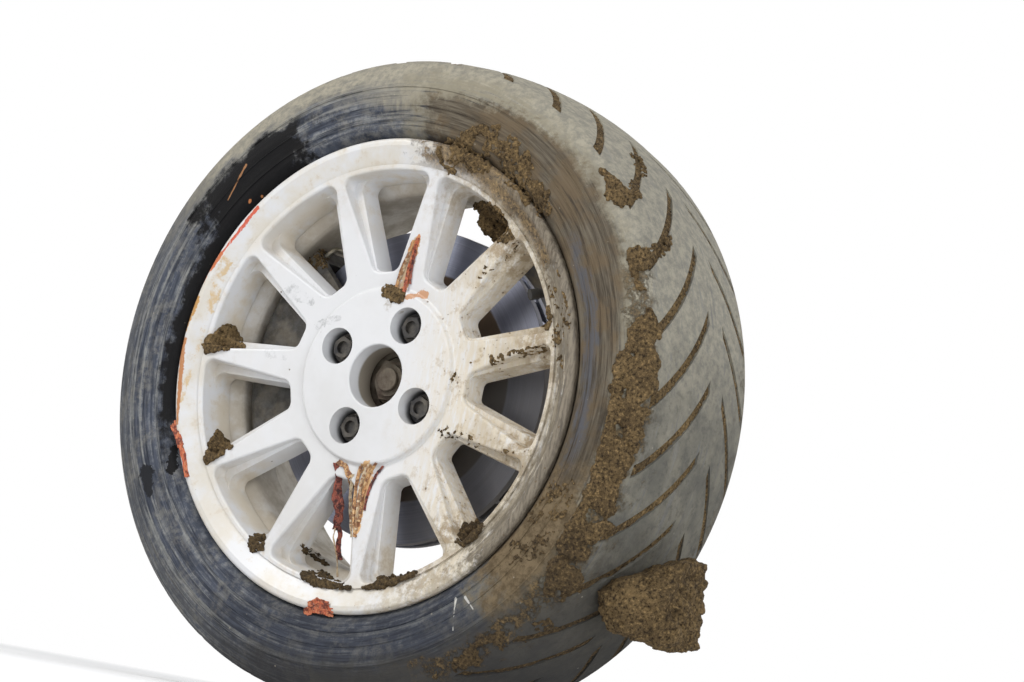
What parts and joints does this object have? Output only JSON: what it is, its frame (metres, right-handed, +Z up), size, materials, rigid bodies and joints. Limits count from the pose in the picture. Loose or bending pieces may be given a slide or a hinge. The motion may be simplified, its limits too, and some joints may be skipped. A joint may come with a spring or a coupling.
{
  "type": "rally car front wheel corner",
  "caption": "Muddy road tyre on a white spoked racing wheel, with hub, vented brake disc, fixed caliper, steering knuckle and drive joint.",
  "frame": {"origin": "middle of the strut clamp bore in the knuckle, where the car's strut holds this corner", "axes": "+Y inboard along the axle, so the wheel's face looks to -Y; +X towards the car's rear; +Z up"},
  "size_m": [0.6099, 0.2771, 0.61],
  "materials": {
    "tyre_rubber": "matt, dusty, smeared with dry mud",
    "wheel_paint": "satin white paint, scuffed and stained",
    "dark_steel": "blackened steel",
    "black_rubber": "matt",
    "black_plastic": "matt",
    "hub_steel": "machined, lightly rusted",
    "disc_iron": "turned bright on the swept faces, rusty on the hat",
    "bright_steel": "ground",
    "knuckle_iron": "dusty dark casting",
    "zinc_bolts": "plated, dull",
    "caliper_alloy": "cast, dusty light grey",
    "pad_material": "sintered friction material on a steel plate"
  },
  "bodies": {
    "upright": {"wheel_bearing": "bright_steel", "knuckle": "knuckle_iron", "strut_clamp_bolts": "zinc_bolts", "ball_joint_bolt": "zinc_bolts", "caliper_outer": "caliper_alloy", "caliper_inner": "caliper_alloy", "pad_outer": "pad_material", "pad_inner": "pad_material", "pistons": "bright_steel", "pad_pins": "zinc_bolts", "bridge_bolts": "dark_steel", "caliper_bolts": "zinc_bolts", "crossover_pipe": "zinc_bolts"},
    "wheel": {"tyre": "tyre_rubber", "wheel_rim": "wheel_paint", "wheel_nuts": "dark_steel", "wheel_studs": "dark_steel", "valve_stem": "black_rubber", "valve_cap": "black_plastic", "hub": "hub_steel", "brake_disc": "disc_iron", "axle_washer": "hub_steel", "axle_nut": "hub_steel", "cv_bell": "hub_steel", "cv_inner_race": "bright_steel", "cv_cage": "bright_steel", "cv_balls": "bright_steel"}
  },
  "joints": [
    {"name": "wheel_spin", "type": "hinge", "parent": "upright", "child": "wheel", "pos_m": [0, -0.1285, -0.112], "axis": [0, 1, 0], "continuous": true}
  ]
}
